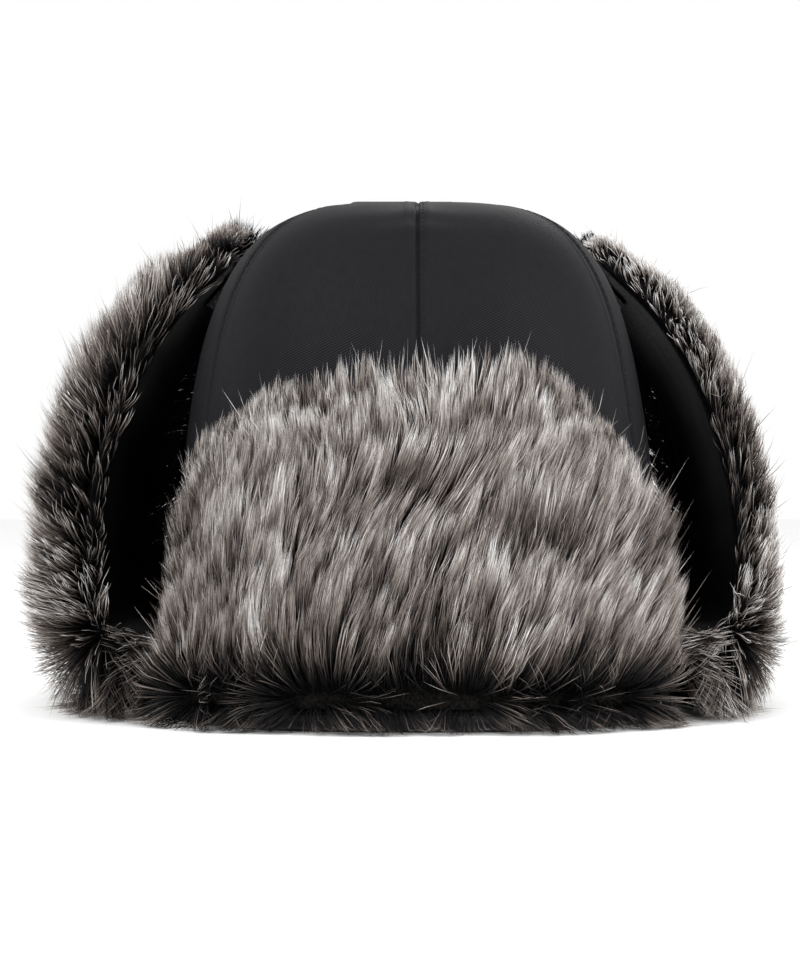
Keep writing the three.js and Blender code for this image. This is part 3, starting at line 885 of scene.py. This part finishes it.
def make_undercoat(flap, handed):
    def place(u, v, w):
        edge = edge_distance(u, v, flap.width, flap.length)
        round_edge = np.sqrt(1 - (1 - np.clip(edge / 7, 0, 1)) ** 2)
        flat = np.stack([u * flap.width, v * flap.length], axis=-1)
        tufts = 1.3 * noise(flat, 9, 31) + 0.8 * noise(flat, 4, 32)
        depth = flap.backing + w * (0.5 + round_edge * (1.6 + 0.5 * tufts))
        points = flap.face(u, v, depth)
        points[:, 2] = np.maximum(points[:, 2], 0.6)
        return points

    piece = slab(f"{flap.name}_undercoat", 110, 130, place, (flap.width, flap.length), outwards=handed)
    finish_piece(piece, UNDERCOAT, flap.body, [flap.node])


def front_lay(flat):
    """Combed up the front with a lean to the right, out over the sides, and down at the bottom edge."""
    across = flat[:, 0] / FRONT_SIZE[0] * 2 - 1
    down = smooth((7 - flat[:, 1]) / 7)
    parting = 4 * down * (1 - down)
    sides = smooth((np.abs(across) - 0.72) / 0.3)
    corner = down * smooth((np.abs(across) - 0.6) / 0.3)
    shoulder = smooth((across - 0.6) / 0.3) * smooth((flat[:, 1] - 45) / 30)
    top = smooth((flat[:, 1] - 62) / 36)
    crest = np.exp(-(((across - 0.08) / 0.42) ** 2)) * top
    length = 29 - 15 * down - 11 * sides * (1 - down) - 15 * top * (1 - sides) + 10 * crest
    fuzz = 0.9 * down * noise(flat, 7, 48)
    lean = 0.26 * (1 - sides) * (1 - 0.7 * top) * (1 - parting)
    return {
        "side": lean + 0.15 * sides * np.sign(across) + fuzz,
        "up": 1 - 1.9 * down - 0.1 * sides,
        "length": length + 9 * corner - 6 * shoulder,
        "lift": 0.42 - 0.1 * top + 0.6 * parting,
        "droop": 0.35,
        # The tone falls by 0.36 at the turned-under bottom edge: partly the pile's dark roots showing,
        # partly painted shade under the fold.
        "tone": 0.53 + 0.08 * top - 0.36 * down - 0.06 * sides + 0.24 * corner,
    }


def ear_lay(side, length, lift, tone):
    """Combed up the flap, with loose locks that fall about."""

    def lay(flat):
        low = smooth((60 - flat[:, 1]) / 30)
        under = smooth((34 - flat[:, 1]) / 14)
        tip = smooth((flat[:, 1] - 120) / 45)
        end = smooth((flat[:, 1] - 158) / 24)
        front = smooth((14 - flat[:, 0]) / 20)
        rear = smooth((flat[:, 0] - EAR_SIZE[0] + 6) / 6)
        side_lean = -0.15 - 0.35 * front - 0.3 * low * front + 0.15 * rear
        shade = tone + (0.04 + 0.12 * side) * tip - 0.12 * low + 0.28 * noise(flat, 18, 45 + side)
        return {
            "side": side_lean + 0.6 * noise(flat, 21, 41 + side),
            "up": 0.75 - 1.5 * low + 1.8 * under + 0.4 * noise(flat, 26, 43 + side),
            "length": length * (1 - 0.2 * tip - 0.4 * end) + (44 - length) * low - 17 * under + 6 * rear,
            "lift": mix(lift + 0.25 * tip, 0.9, low) + 0.5 * under,
            "droop": 0.55,
            # At the rear edge, beside the neck flap, the strands' tone falls to 0.12: painted shade in the
            # gap between the flaps.
            "tone": mix(shade, 0.12, rear),
        }

    return lay


def neck_lay(flat):
    low = smooth((50 - flat[:, 1]) / 28)
    top = smooth((flat[:, 1] - 78) / 22)
    return {
        "side": -0.1 + 0.25 * noise(flat, 30, 47),
        "up": 1 - 1.5 * low,
        "length": 25 - 3 * low,
        "lift": 0.40 * np.ones(len(flat)),
        "droop": 0.4,
        "tone": 0.48 + 0.12 * top - 0.12 * low,
    }


FOLD_REACH = 22.6  # how far from its hinge a flap's cloth takes to turn


def fold_of(x, y, body):
    """The crown's body, a flap's body and the two ends of a line from beside the crown's lower edge, up and
    out on the flap's own side.
    """
    start = Vector((x * MM, y * MM, 0))
    end = start + Vector((math.copysign(1, x) if x else 0, 1 if y else 0, 1)) * FOLD_REACH * MM
    return ("crown", body, start, end)


FOLDS = {
    "ear_flap_left": fold_of(-113.1, 0, "ear_flap_left"),
    "ear_flap_right": fold_of(113.1, 0, "ear_flap_right"),
    "neck_flap": fold_of(0, 112.5, "neck_flap"),
}


# Each ear flap's side, and its pile's length, lift and tone: the right one's lies flatter and is paler.
EARS = (("ear_flap_left", -1, 24, 0.9, 0.62), ("ear_flap_right", 1, 14, 0.42, 0.72))


def make_fur(flap, handed, seed):
    make_undercoat(flap, handed)
    grow_fur(flap, seed)


def make_ear_flaps():
    backing = PANEL_THICKNESS + FUR_CLEARANCE
    for name, side, length, lift, tone in EARS:
        face = ear_face(side)
        fold = FOLDS[name]
        make_panel(name, face, EAR_SIZE, PANEL_THICKNESS, fold, side)
        lay = ear_lay(side, length, lift, tone)
        flap = Flap(name, face, EAR_SIZE, backing, lay, 36000, fold, far_turn=165, far_share=0.3)
        make_fur(flap, side, 100 + side)


def make_neck_flap():
    fold = FOLDS["neck_flap"]
    make_panel("neck_flap", neck_face, NECK_SIZE, PANEL_THICKNESS, fold, 1)
    backing = PANEL_THICKNESS + FUR_CLEARANCE
    flap = Flap("neck_flap", neck_face, NECK_SIZE, backing, neck_lay, 24000, fold)
    make_fur(flap, 1, 103)


def make_front_flap():
    make_panel("front_flap", front_face, FRONT_SIZE, FRONT_PANEL_THICKNESS, "crown", 1, "lining")
    backing = FRONT_PANEL_THICKNESS + FUR_CLEARANCE
    flap = Flap("front_flap", front_face, FRONT_SIZE, backing, front_lay, 48000, "crown", wrap=3)
    make_fur(flap, 1, 104)


# ---- straps and buckle ----
def softened_copy(node, name, bevel, segments):
    """A copy of a CAD node with its edges rounded."""
    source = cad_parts[node]
    made = add_object(name, source.data.copy())
    work = bmesh.new()
    work.from_mesh(made.data)
    bmesh.ops.remove_doubles(work, verts=work.verts, dist=0.00002)
    bmesh.ops.dissolve_limit(work, angle_limit=math.radians(2), verts=work.verts, edges=work.edges)
    work.to_mesh(made.data)
    work.free()
    rounding = made.modifiers.new("rounding", "BEVEL")
    rounding.width = bevel * MM
    rounding.segments = segments
    rounding.limit_method = "ANGLE"
    rounding.angle_limit = math.radians(35)
    rounding.harden_normals = False
    return made


def weave_along_x(piece):
    """Weave coordinates for webbing, which runs along X."""
    mesh = piece.data
    while mesh.uv_layers:
        mesh.uv_layers.remove(mesh.uv_layers[0])
    layer = mesh.uv_layers.new(name="weave")
    for loop in mesh.loops:
        place = mesh.vertices[loop.vertex_index].co
        layer.data[loop.index].uv = (place.x, place.y)


def make_straps():
    webbing = (
        ("strap_left", "strap_left"),
        ("strap_right", "strap_right"),
        ("strap_tail", "buckle_plug"),
        ("strap_tab_left", "ear_flap_left"),
        ("strap_tab_right", "ear_flap_right"),
    )
    for node, body in webbing:
        piece = softened_copy(node, node + "_webbing", 0.5, 2)
        weave_along_x(piece)
        piece.data.shade_smooth()
        finish_piece(piece, WEBBING, body, [node])
    for node, body in (("buckle_socket", "strap_left"), ("buckle_plug", "buckle_plug")):
        piece = softened_copy(node, node + "_moulding", 0.45, 3)
        piece.data.shade_smooth()
        finish_piece(piece, MOULDED, body, [node])


# ---- camera, lights and floor ----
SUBJECT_DISTANCE = 0.988  # from the camera to the crown's middle
PHOTO_SCALE = 0.000416  # metres at the crown's middle for one line of the picture
PICTURE_LINES = 978
CAMERA_SIDE = -0.0068
CAMERA_HEIGHT = 0.0895


def make_camera():
    lens = bpy.data.cameras.new("camera")
    lens.lens = lens.sensor_width * SUBJECT_DISTANCE / (PHOTO_SCALE * PICTURE_LINES)
    lens.clip_start = 0.05
    camera = bpy.data.objects.new("camera", lens)
    camera.location = (CAMERA_SIDE, CENTRE_Y - SUBJECT_DISTANCE, CAMERA_HEIGHT)
    camera.rotation_euler = (math.radians(90), 0, 0)
    bpy.context.scene.collection.objects.link(camera)
    bpy.context.scene.camera = camera


def make_light(name, place, size, power):
    lamp = bpy.data.lights.new(name, "AREA")
    lamp.shape = "RECTANGLE"
    lamp.size, lamp.size_y = size
    lamp.energy = power
    made = bpy.data.objects.new(name, lamp)
    made.location = place
    made.rotation_euler = (Vector((0, 0, 0.1)) - made.location).to_track_quat("-Z", "Y").to_euler()
    bpy.context.scene.collection.objects.link(made)


def make_studio():
    mesh = bpy.data.meshes.new("floor")
    reach = 6.0
    corners = [(-reach, -reach, 0), (reach, -reach, 0), (reach, reach, 0), (-reach, reach, 0)]
    mesh.from_pydata(corners, [], [(0, 1, 2, 3)])
    floor = add_object("floor", mesh)
    material, tree, shader = new_material("pale_floor", 0.9, 0.1)
    shader.inputs["Base Color"].default_value = (0.93, 0.93, 0.93, 1)
    floor.data.materials.append(material)
    world = bpy.data.worlds.new("studio")
    world.use_nodes = True
    sky = world.node_tree.nodes["Background"]
    sky.inputs["Color"].default_value = (1, 1, 1, 1)
    sky.inputs["Strength"].default_value = 1.0
    bpy.context.scene.world = world
    make_light("key", (-0.9, -1.3, 1.3), (1.0, 0.8), 28)
    make_light("fill", (1.3, -0.9, 0.8), (0.8, 0.8), 23)
    make_light("back", (0.3, 1.4, 1.2), (1.0, 0.6), 5)
    bpy.context.scene.view_settings.view_transform = "Standard"


make_camera()
make_studio()
make_gores()
make_crown_topstitch()
make_crown_inside()
make_sweatband()
make_binding()
make_ear_flaps()
make_neck_flap()
make_front_flap()
make_straps()
